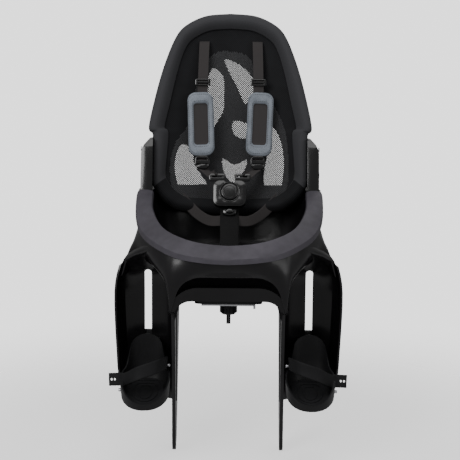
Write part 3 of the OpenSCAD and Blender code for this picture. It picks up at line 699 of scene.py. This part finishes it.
# Back cover, upright on the back, in mm: right half of its outline, the area of its open net, how much of the
# border's roll is left at each height, the border's section and the dish's, by distance in from the outline
HALF_OUTLINE = [(0, 472), (48, 467), (86, 448), (107, 422), (128, 367), (144, 307), (156, 247), (150, 236),
                (148, 226), (148, 190), (148, 150), (147, 134), (141, 122), (132, 110), (118, 98), (90, 86),
                (0, 80)]
NET_ZONE = [(-30, 392), (-6, 396), (28, 388), (50, 356), (62, 320), (86, 280), (103, 235), (109, 176),
            (106, 128), (86, 108), (40, 102), (-9, 101), (-68, 104), (-101, 115), (-113, 145), (-113, 184),
            (-102, 220), (-79, 254), (-68, 313), (-55, 368)]
LOW_ROLL = [(84, 0), (112, 0.05), (150, 0.55), (190, 1), (500, 1)]
ROLL = [(1, 13), (0, 2), (3, -6), (11, -10), (19, -7), (27, 1)]
DISH = [(20, -2), (27, 2), (42, 4.4), (60, 6), (85, 8), (110, 9), (400, 9)]
MIDDLE = Vector((0, 260))
LOW_END = 128
DISH_STEP = 3.5
DISH_EDGE = 23
NET_OVERLAP = 4


def outline():
    half = curve([(x, z) for x, z in HALF_OUTLINE], 6)
    return half + [Vector((-p.x, p.y)) for p in half[-2:0:-1]]


def pulled(p, d):
    v = p - MIDDLE
    return MIDDLE + v * max(1 - d / v.length, 0.02)


def swollen(points, d):
    """An outline a little larger, in mm"""
    ring = [Vector(p) for p in points]
    centre = sum(ring, Vector((0, 0))) / len(ring)
    return [p + (p - centre).normalized() * d for p in ring_curve(ring, 3)]


class SEAT_OT_back_cover(bpy.types.Operator):
    """Makes the padded air-mesh cover, with open net over the openings of the back frame"""
    bl_idname = "child_seat.back_cover"
    bl_label = "Back cover"

    def execute(self, context):
        ring = outline()
        radius = [((p - MIDDLE).angle_signed(Vector((0, 1))), (p - MIDDLE).length) for p in ring]
        radius.sort()
        roll = self.roll(ring)
        dish = self.dish(radius)
        net = self.net(radius)
        rims = [self.slot_rim(side) for side in SIDES.values()]
        cover = joined("back_cover", roll, dish, net, *rims)
        belongs(cover, "seat", "air_mesh", "back_mesh")
        return {"FINISHED"}

    def reach(self, radius, x, z):
        """How far a point is in from the outline, along its ray from the middle"""
        v = Vector((x, z)) - MIDDLE
        angle = v.angle_signed(Vector((0, 1))) if v.length > 1e-6 else 0
        return value_at([(radius[-1][0] - 2 * math.pi, radius[-1][1])] + radius
                        + [(radius[0][0] + 2 * math.pi, radius[0][1])], angle) - v.length

    def roll(self, ring):
        rows = curve(ROLL, 5)
        points, uvs = [], []
        for d, y in rows:
            for p in ring:
                q = pulled(p, d)
                flat = value_at(LOW_ROLL, p.y)
                points.append(on_bowed_back(q.x, mix(min(y, 5), y, flat), q.y))
                uvs.append((q.x * MM + 0.3 * y * MM, q.y * MM + 0.3 * y * MM))
        low = [1 if p.y < LOW_END else 0 for p in ring]
        return self.thick(piece("roll", points, grid_faces(len(rows), len(ring), closed=True),
                                ["air_mesh", "dish_mesh"], uvs, low * (len(rows) - 1)))

    def dish(self, radius):
        step = DISH_STEP
        hole = [tuple(p) for p in swollen(NET_ZONE, 0)]
        places, faces = {}, []

        def place(i, j):
            if (i, j) not in places:
                x, z = i * step, j * step
                d = self.reach(radius, x, z)
                places[i, j] = (len(places), on_bowed_back(x, value_at(DISH, d) + 0.4, z), (x * MM, z * MM))
            return places[i, j][0]

        for i in range(-48, 48):
            for j in range(20, 136):
                x, z = (i + 0.5) * step, (j + 0.5) * step
                if self.reach(radius, x, z) < DISH_EDGE or inside((x, z), hole):
                    continue
                faces.append((place(i, j), place(i + 1, j), place(i + 1, j + 1), place(i, j + 1)))
        rows = sorted(places.values())
        return self.thick(piece("dish", [r[1] for r in rows], faces, ["dish_mesh"], [r[2] for r in rows]))

    def slot_rim(self, side):
        """Bound edge of the slot that a shoulder strap comes out of"""
        path = [on_bowed_back(side * 52 + p.x, 7.2, 419 + p.y) for p in rounded(26, 6.4, 3)]
        path += path[:1]
        section = [(1.1 * MM * math.cos(k * math.pi / 4), 1.1 * MM * math.sin(k * math.pi / 4))
                   for k in range(8)]
        points, faces, uvs = tube(path, Vector((0, 1, 0.2)), section)
        return outward(piece("rim", points, faces, ["dish_mesh"], uvs))

    def thick(self, obj):
        wall = obj.modifiers.new("Wall", "SOLIDIFY")
        wall.thickness = sizes().cover_depth
        wall.offset = -1
        return settled(obj)

    def net(self, radius):
        a = sizes().net_pitch / MM
        zone = [tuple(p) for p in swollen(NET_ZONE, NET_OVERLAP)]
        places, edges = {}, []

        def place(i, j):
            if (i, j) not in places:
                x, z = i * a, j * a
                d = self.reach(radius, x, z)
                places[i, j] = (len(places), on_bowed_back(x, value_at(DISH, d) + 0.2, z))
            return places[i, j][0]

        (left, low), (right, high) = [[int(most(p[k] for p in zone) / a) for k in (0, 1)]
                                      for most in (min, max)]
        for i in range(left - 1, right + 2):
            for j in range(low - 1, high + 2):
                if (i + j) % 2 or not inside((i * a, j * a), zone):
                    continue
                for k in (-1, 1):
                    edges.append((place(i, j), place(i + 1, j + k)))
        points = [r[1] for r in sorted(places.values())]
        return grown("net", points, sorted(set(edges)), net_tree("net_cord"),
                     {"Thread radius": sizes().net_thread})


# Seat cushion: size of its skin's cells, height of its flat lower edge, and its quilting
CUSHION_CELL = 5 * MM
CUSHION_FOOT = 6 * MM
BLOW_FRAMES = 20
QUILT_DEPTH, QUILT_PITCH, QUILT_BORDER = 1.6 * MM, 62 * MM, 10 * MM


class SEAT_OT_seat_cushion(bpy.types.Operator):
    """Makes the seat cushion: a blown-up cloth skin that lies flat on the pan"""
    bl_idname = "child_seat.seat_cushion"
    bl_label = "Seat cushion"

    def execute(self, context):
        mesh = frame["nodes"]["seat_pad"].data.copy()
        mesh.materials.clear()
        obj = bpy.data.objects.new("seat_cushion", mesh)
        bpy.context.scene.collection.objects.link(obj)
        bm = bmesh.new()
        bm.from_mesh(mesh)
        bmesh.ops.remove_doubles(bm, verts=bm.verts, dist=1e-5)
        bm.to_mesh(mesh)
        bm.free()
        skin = obj.modifiers.new("Skin", "REMESH")
        skin.mode = "VOXEL"
        skin.voxel_size = CUSHION_CELL
        settled(obj)
        low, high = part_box("seat_pad")
        rest = [v.co.copy() for v in obj.data.vertices]
        self.blow(obj)
        cap = sizes().cushion_rise
        for v, start in zip(obj.data.vertices, rest):
            move = v.co - start
            if move.length > cap:
                v.co = start + move.normalized() * cap
            edge = min(start.x - low.x, high.x - start.x, start.y - low.y, high.y - start.y)
            if v.co.z < start.z or start.z < low.z + CUSHION_FOOT:
                v.co.z = max(min(v.co.z, start.z), low.z)
            else:
                quilted = edge > QUILT_BORDER
                dip = QUILT_DEPTH * math.cos(start.x * 2 * math.pi / QUILT_PITCH) if quilted else 0
                v.co.z += dip - 1 * MM
            v.co.x = min(max(v.co.x, low.x - MM), high.x + MM)
            v.co.y = min(max(v.co.y, low.y - MM), high.y + MM)
        soft = obj.modifiers.new("Soft", "SUBSURF")
        soft.levels = soft.render_levels = 1
        settled(obj)
        obj.data.materials.append(bpy.data.materials["cushion_cloth"])
        obj.data.polygons.foreach_set("use_smooth", [True] * len(obj.data.polygons))
        belongs(obj, "seat", "pad_fabric", "seat_pad")
        return {"FINISHED"}

    def blow(self, obj):
        cloth = obj.modifiers.new("Cloth", "CLOTH")
        cloth.settings.use_pressure = True
        cloth.settings.uniform_pressure_force = 4
        cloth.settings.effector_weights.gravity = 0
        cloth.point_cache.frame_start = 1
        cloth.point_cache.frame_end = BLOW_FRAMES
        for step in range(1, BLOW_FRAMES + 1):
            bpy.context.scene.frame_set(step)
        settled(obj)
        bpy.context.scene.frame_set(1)


SIDES = {"left": -1, "right": 1}


def mirrored(points, side):
    return [Vector((p.x * side, p.y, p.z)) for p in points]


def on_strap(x, y, z, turn=0.0):
    """Places points of a piece that lies on a shoulder strap: across, up, out"""
    tilt = Euler((math.radians(88), math.radians(turn), 0)).to_matrix()

    def put(a, b, c, side=1):
        q = tilt @ Vector((a, b, c)) + Vector((x, y, z))
        p = on_back(q.x, q.y, q.z)
        return Vector((p.x * side, p.y, p.z))
    return put


def rounded(width, height, r, steps=8):
    """Rounded rectangle, anticlockwise, with even points on its sides and corners"""
    quarter = math.pi / 2

    def at(corner, a):
        x, y = [(1, 1), (-1, 1), (-1, -1), (1, -1)][corner % 4]
        return Vector(((width / 2 - r) * x + r * math.cos(a), (height / 2 - r) * y + r * math.sin(a)))

    points = []
    for k in range(4):
        points += [at(k, (k + i / steps) * quarter) for i in range(steps + 1)]
        end = at(k + 1, (k + 1) * quarter)
        points += [points[-1].lerp(end, i / steps) for i in range(1, steps)]
    return points


PAD_AT = (57, -18, 253, 2)
PAD_SECTION = [(0.3, 0.3), (0.08, 0.5), (0.0, 1.6), (-0.02, 3.4), (0.04, 5.2), (0.15, 6.5), (0.32, 7.3),
               (0.5, 7.6), (0.68, 7.3), (0.84, 6.5), (0.95, 5.3), (1.0, 4.0), (1.02, 3.3)]


class SEAT_OT_shoulder_pads(bpy.types.Operator):
    """Makes the two shoulder pads: crowned frames round a window, with stitched seams"""
    bl_idname = "child_seat.shoulder_pads"
    bl_label = "Shoulder pads"

    def execute(self, context):
        outer, window = rounded(50, 124, 16), rounded(28, 82, 6)
        put = on_strap(*PAD_AT)
        for name, side in SIDES.items():
            points, uvs = [], []
            n = len(outer)
            for t, c in PAD_SECTION:
                for k, (p, q) in enumerate(zip(outer, window)):
                    r = p.lerp(q, t)
                    lift = 0.25 * math.sin(k * 0.9) * math.sin(k * 0.23) if c > 5 else 0
                    points.append(put(r.x, r.y, c + lift, side))
                    uvs.append((r.x * MM, r.y * MM))
            for share in (0.75, 0.4, 0.02):
                for q in window:
                    points.append(put(q.x * share, q.y * (0.5 + share / 2), 3.0, side))
                    uvs.append((q.x * share * MM, q.y * (0.5 + share / 2) * MM))
            rows = len(PAD_SECTION) + 3
            faces = grid_faces(rows, n, closed=True)
            marks = [1 if f // n >= len(PAD_SECTION) - 1 else 0 for f in range(len(faces))]
            faces += [tuple(range(n))[::-1], tuple((rows - 1) * n + k for k in range(n))]
            marks += [0, 1]
            pad = outward(piece("shoulder_cushion_" + name, points, faces, ["pad_cloth", "webbing"], uvs,
                                marks=marks))
            belongs(pad, "seat", "pad_grey", "shoulder_pad_" + name)
            self.seams(name, side, put, outer, window)
        return {"FINISHED"}

    def seams(self, name, side, put, outer, window):
        points, edges = [], []
        for t, c in ((0.2, 6.85), (0.82, 6.7)):
            first = len(points)
            loop = [put(*p.lerp(q, t), c, side) for p, q in zip(outer, window)]
            points += loop
            edges += [(first + k, first + (k + 1) % len(loop)) for k in range(len(loop))]
        s = sizes()
        seam = grown("shoulder_seams_" + name, points, edges, stitch_tree("thread"),
                     {"Pitch": s.stitch_pitch, "Thickness": s.stitch_radius})
        belongs(seam, "seat", "pad_grey")


# Webbing routes, right side, in mm. Those of the shoulder straps are upright on the back. Then the widths and
# thicknesses of the bands.
STRAP_UP = [(52, 22, 419), (52, 8, 419), (52, -4, 413), (53, -10, 379), (54, -14.2, 339), (55, -15, 299)]
LOWER_ON_BACK = [(55, -15, 215), (54, -18, 189), (53, -20, 169)]
LOWER_ON = [(41, 98, 219), (25, 97, 213)]
LAP = [(104, 124, 178), (86, 110, 162), (62, 92, 141), (38, 74, 131), (14, 63.4, 133)]
CROTCH = [(0, 93, 189), (0, 81, 161.5), (0, 56, 128), (0, 28, 98), (0, 5, 84), (0, -1.5, 74), (0, -1.5, 52)]
WEBBING, CROTCH_PAD, FOOT_BAND = (20 * MM, 1.6 * MM), (36 * MM, 3.4 * MM), (24 * MM, 3 * MM)
HOLE_R = 2.3 * MM
FOOT_STRAP = [(113.6, -86, -110), (114.4, -116, -102), (133, -142, -104), (163, -146, -114),
              (186.5, -130, -129), (200.5, -113, -134), (218.5, -108, -136)]


class SEAT_OT_harness_webbing(bpy.types.Operator):
    """Lays the ribbed webbing of the shoulder, lower and lap straps"""
    bl_idname = "child_seat.harness_webbing"
    bl_label = "Harness webbing"

    def execute(self, context):
        routes = {
            "shoulder_strap": ([on_back(*p) for p in STRAP_UP], Vector((1, 0, 0))),
            "lower_strap": ([on_back(*p) for p in LOWER_ON_BACK] + in_metres(LOWER_ON), Vector((1, 0, 0.25))),
            "lap_strap": (in_metres(LAP), Vector((0, 0.3, 0.95))),
        }
        band = flat_section(*WEBBING)
        for kind, (path, across) in routes.items():
            for name, side in SIDES.items():
                line = mirrored(curve(path, 10), side)
                wide = Vector((across.x * side, across.y, across.z))
                points, faces, uvs = tube(line, wide, band)
                strap = outward(piece(f"{kind}_band_{name}", points, faces, ["webbing"], uvs))
                belongs(strap, "seat", "webbing", f"{kind}_{name}")
        return {"FINISHED"}


class SEAT_OT_crotch_pad(bpy.types.Operator):
    """Makes the padded crotch strap with its side seams"""
    bl_idname = "child_seat.crotch_pad"
    bl_label = "Crotch pad"

    def execute(self, context):
        path = curve(in_metres(CROTCH), 10)
        points, faces, uvs = tube(path, Vector((1, 0, 0)), flat_section(*CROTCH_PAD, crown=1.6 * MM))
        pad = outward(piece("crotch_cushion", points, faces, ["cushion_cloth"], uvs))
        belongs(pad, "seat", "pad_fabric", "crotch_strap")
        lines, edges = [], []
        for x in (-14, 14):
            first = len(lines)
            for i, p in enumerate(path[4:52]):
                ahead = (path[i + 5] - path[i + 4]).normalized()
                out = Vector((1, 0, 0)).cross(ahead).normalized()
                lines.append(p + Vector((x * MM, 0, 0)) + out * 2.4 * MM)
            edges += [(k, k + 1) for k in range(first, len(lines) - 1)]
        s = sizes()
        seam = grown("crotch_seams", lines, edges, stitch_tree("thread"),
                     {"Pitch": s.stitch_pitch, "Thickness": s.stitch_radius})
        belongs(seam, "seat", "pad_fabric")
        return {"FINISHED"}


BUCKLE_AT = Vector((0, 84, 182))
BUCKLE_TILT = Euler((math.radians(66), 0, 0)).to_matrix()


def at_buckle(x, y, z):
    """A point on the buckle, in mm: across, up and out of its face"""
    return (BUCKLE_TILT @ Vector((x, y, z)) + BUCKLE_AT) * MM


def bead_ring(name, radius, height, thick):
    """A glossy bead round the buckle's middle, in mm"""
    path = [at_buckle(radius * math.cos(a), radius * math.sin(a), height)
            for a in [k * math.pi / 24 for k in range(48)]]
    centre, out = at_buckle(0, 0, height), BUCKLE_TILT @ Vector((0, 0, 1))
    points = []
    for p in path:
        away = (p - centre).normalized()
        points += [p + (away * math.cos(a) + out * math.sin(a)) * thick * MM
                   for a in [k * math.pi / 5 for k in range(10)]]
    n = len(points)
    faces = [tuple(i % n for i in f) for f in grid_faces(len(path) + 1, 10, closed=True)]
    return outward(piece(name, points, faces, ["gloss_black"]))


class SEAT_OT_buckle_trim(bpy.types.Operator):
    """Makes the ring round the buckle's button, its lower tab and stud, and the straps' half-round glides"""
    bl_idname = "child_seat.buckle_trim"
    bl_label = "Buckle trim"

    def execute(self, context):
        ring = bead_ring("button_ring", 19, 14.1, 1.2)
        tab = self.lofted("tab", [(1.2, 0), (5.6, 0), (6.6, 1.2)],
                          lambda d: [(x * (1 - 0.012 * d), y) for x, y in
                                     self.shield(15.5 - d, 13 - d, -24 + d, -45 + d)])
        stud = self.lofted("stud", [(6.4, 0), (7.8, 0.4), (8.9, 2), (9.2, 4.5)],
                           lambda d: [((8 - d) * math.cos(a), -36 + (5.4 - d) * math.sin(a))
                                      for a in [k * math.pi / 16 for k in range(32)]])
        belongs(joined("buckle_trim", ring, tab, stud), "seat", "buckle_plastic")
        belongs(bead_ring("button_bead", 12, 16.4, 0.7), "buckle_press", "buckle_plastic")
        for name, side in SIDES.items():
            self.glide(name, side)
        return {"FINISHED"}

    def shield(self, top, low, y1, y0):
        arc = [(low * math.cos(a), y0 + 6 + 6 * math.sin(a)) for a in
               [-math.pi * k / 12 for k in range(13)]]
        return [(-top, y1), (top, y1)] + arc

    def lofted(self, name, levels, outline_at, put=at_buckle):
        rings = [[put(x, y, z) for x, y in outline_at(d)] for z, d in levels]
        n = len(rings[0])
        faces = grid_faces(len(rings), n, closed=True) + [tuple(range(n))[::-1],
                                                          tuple((len(rings) - 1) * n + k for k in range(n))]
        return outward(piece(name, [p for r in rings for p in r], faces, ["gloss_black"]))

    def glide(self, name, side):
        at = on_strap(54, -20.2, 177)
        half = [(-14, -3)] + [(14 * math.cos(a), -3 + 11 * math.sin(a)) for a in
                              [math.pi + math.pi * k / 18 for k in range(1, 18)]] + [(14, -3)]
        shape = self.lofted("strap_glide_" + name, [(5.1, 0), (6.8, 0), (7.8, 1.2)],
                            lambda d: [(x * (1 - d / 14), y + d * 0.5) for x, y in half],
                            lambda x, y, z: at(x, y, z, side))
        belongs(shape, "seat", "buckle_plastic")


class SEAT_OT_foot_straps(bpy.types.Operator):
    """Makes the rubber straps over the feet, with the holes in their tails"""
    bl_idname = "child_seat.foot_straps"
    bl_label = "Foot straps"

    def execute(self, context):
        for name, side in SIDES.items():
            path = mirrored(curve(in_metres(FOOT_STRAP), 10), side)
            wide = Vector((-0.1 * side, 0.2, 1))
            points, faces, uvs = tube(path, wide, flat_section(*FOOT_BAND, crown=-0.35 * MM))
            strap = outward(piece("foot_band_" + name, points, faces, ["rubber"], uvs))
            for share in (0.12, 0.62):
                self.hole(strap, path, wide, share)
            for e in strap.data.edges:
                e.use_edge_sharp = False
            strap.data.set_sharp_from_angle(angle=math.radians(35))
            belongs(strap, "foot_cup_" + name, "strap_rubber", "foot_strap_" + name)
        return {"FINISHED"}

    def hole(self, strap, path, wide, share):
        a, b = path[-8], path[-1]
        at = a.lerp(b, share)
        ahead = (b - a).normalized()
        up = ahead.cross((wide - ahead * wide.dot(ahead)).normalized())
        mesh = bpy.data.meshes.new("hole")
        bm = bmesh.new()
        turn = up.to_track_quat("Z", "Y").to_matrix().to_4x4()
        bmesh.ops.create_cone(bm, cap_ends=True, segments=20, radius1=HOLE_R, radius2=HOLE_R,
                              depth=12 * MM, matrix=Matrix.Translation(at) @ turn)
        bm.to_mesh(mesh)
        bm.free()
        cutter = bpy.data.objects.new("hole", mesh)
        bpy.context.scene.collection.objects.link(cutter)
        cut = strap.modifiers.new("Hole", "BOOLEAN")
        cut.object = cutter
        cut.solver = "EXACT"
        settled(strap)
        bpy.data.objects.remove(cutter)


class SEAT_OT_stage(bpy.types.Operator):
    """Sets up the pale floor, the soft studio light and the camera"""
    bl_idname = "child_seat.stage"
    bl_label = "Floor, light and camera"

    def execute(self, context):
        s = bpy.context.scene.seat_stage
        floor_z = CAD_BOX[0].z - 0.0005
        pale = Finish("pale_floor", s.floor, 0.8, specular=0.2)
        pale.vary(pale.noise(2, 2), 0.99, 1.01)
        pale.fade_out(0.35, 1.1, 0.5)
        pale.done()
        rings = (0.02, 0.3, 0.7, 1.2, 2.4)
        points = [(r * math.cos(k * math.pi / 32), r * math.sin(k * math.pi / 32), floor_z)
                  for r in rings for k in range(64)]
        faces = [f[::-1] for f in grid_faces(len(rings), 64, closed=True)] + [tuple(range(64))]
        piece("floor", points, faces, ["pale_floor"])
        self.world()
        target = Vector((0.0015, 0, 0.126))
        for name, place, size, power in (("key", (-1.5, -2.0, 1.7), 1.5, s.key_power),
                                         ("fill", (1.9, -1.6, 0.9), 1.4, s.fill_power),
                                         ("rim", (0.6, 1.5, 2.0), 1.2, s.fill_power),
                                         ("top", (0, -0.9, 2.4), 2.0, s.top_power)):
            lamp = bpy.data.lights.new(name, "AREA")
            lamp.shape = "DISK"
            lamp.size = size
            lamp.energy = power
            obj = bpy.data.objects.new(name, lamp)
            obj.location = place
            obj.rotation_euler = (target - Vector(place)).to_track_quat("-Z", "Y").to_euler()
            bpy.context.scene.collection.objects.link(obj)
        back = Vector((math.sin(s.turn) * math.cos(s.elevation), -math.cos(s.turn) * math.cos(s.elevation),
                       math.sin(s.elevation)))
        camera = bpy.data.cameras.new("camera")
        camera.lens = s.lens
        camera.sensor_width = 36
        camera.clip_start, camera.clip_end = 0.1, 50
        holder = bpy.data.objects.new("camera", camera)
        turn = (-back).to_track_quat("-Z", "Y").to_matrix() @ Matrix.Rotation(s.roll, 3, "Z")
        holder.matrix_world = Matrix.Translation(target + back * s.distance) @ turn.to_4x4()
        bpy.context.scene.collection.objects.link(holder)
        bpy.context.scene.camera = holder
        return {"FINISHED"}

    def world(self):
        """A white backdrop, and a dimmer even light from all round"""
        world = bpy.data.worlds.new("studio")
        world.use_nodes = True
        nodes, link = world.node_tree.nodes, world.node_tree.links.new
        soft = nodes["Background"]
        soft.inputs["Color"].default_value = (1, 1, 1, 1)
        soft.inputs["Strength"].default_value = 0.3
        backdrop = nodes.new("ShaderNodeBackground")
        backdrop.inputs["Color"].default_value = (1, 1, 1, 1)
        backdrop.inputs["Strength"].default_value = 2.0
        path, both = nodes.new("ShaderNodeLightPath"), nodes.new("ShaderNodeMixShader")
        link(path.outputs["Is Camera Ray"], both.inputs[0])
        link(soft.outputs[0], both.inputs[1])
        link(backdrop.outputs[0], both.inputs[2])
        link(both.outputs[0], nodes["World Output"].inputs["Surface"])
        bpy.context.scene.world = world


STEPS = (SEAT_OT_finishes, SEAT_OT_stage, SEAT_OT_mouldings, SEAT_OT_front_skin, SEAT_OT_back_cover,
         SEAT_OT_seat_cushion, SEAT_OT_shoulder_pads, SEAT_OT_harness_webbing, SEAT_OT_crotch_pad,
         SEAT_OT_buckle_trim, SEAT_OT_foot_straps)
GROUPS = {"seat_finishes": SeatFinishes, "seat_sizes": SeatSizes, "seat_stage": SeatStage}


class SEAT_PT_dressing(bpy.types.Panel):
    """Sizes, colours and steps of the dressing"""
    bl_idname = "SEAT_PT_dressing"
    bl_label = "Child Seat"
    bl_space_type = "VIEW_3D"
    bl_region_type = "UI"
    bl_category = "Child Seat"

    def draw(self, context):
        for name, group in GROUPS.items():
            box = self.layout.box()
            for key in group.__annotations__:
                box.prop(getattr(context.scene, name), key)
        for step in STEPS:
            self.layout.operator(step.bl_idname)


def register():
    for c in (*GROUPS.values(), *STEPS, SEAT_PT_dressing):
        bpy.utils.register_class(c)
    for name, group in GROUPS.items():
        setattr(bpy.types.Scene, name, PointerProperty(type=group))


def unregister():
    for name in GROUPS:
        delattr(bpy.types.Scene, name)
    for c in reversed((*GROUPS.values(), *STEPS, SEAT_PT_dressing)):
        bpy.utils.unregister_class(c)


def main():
    register()
    for step in STEPS:
        kind, name = step.bl_idname.split(".")
        if getattr(getattr(bpy.ops, kind), name)() != {"FINISHED"}:
            raise RuntimeError(f"{step.bl_label} did not finish")


if __name__ == "__main__":
    main()
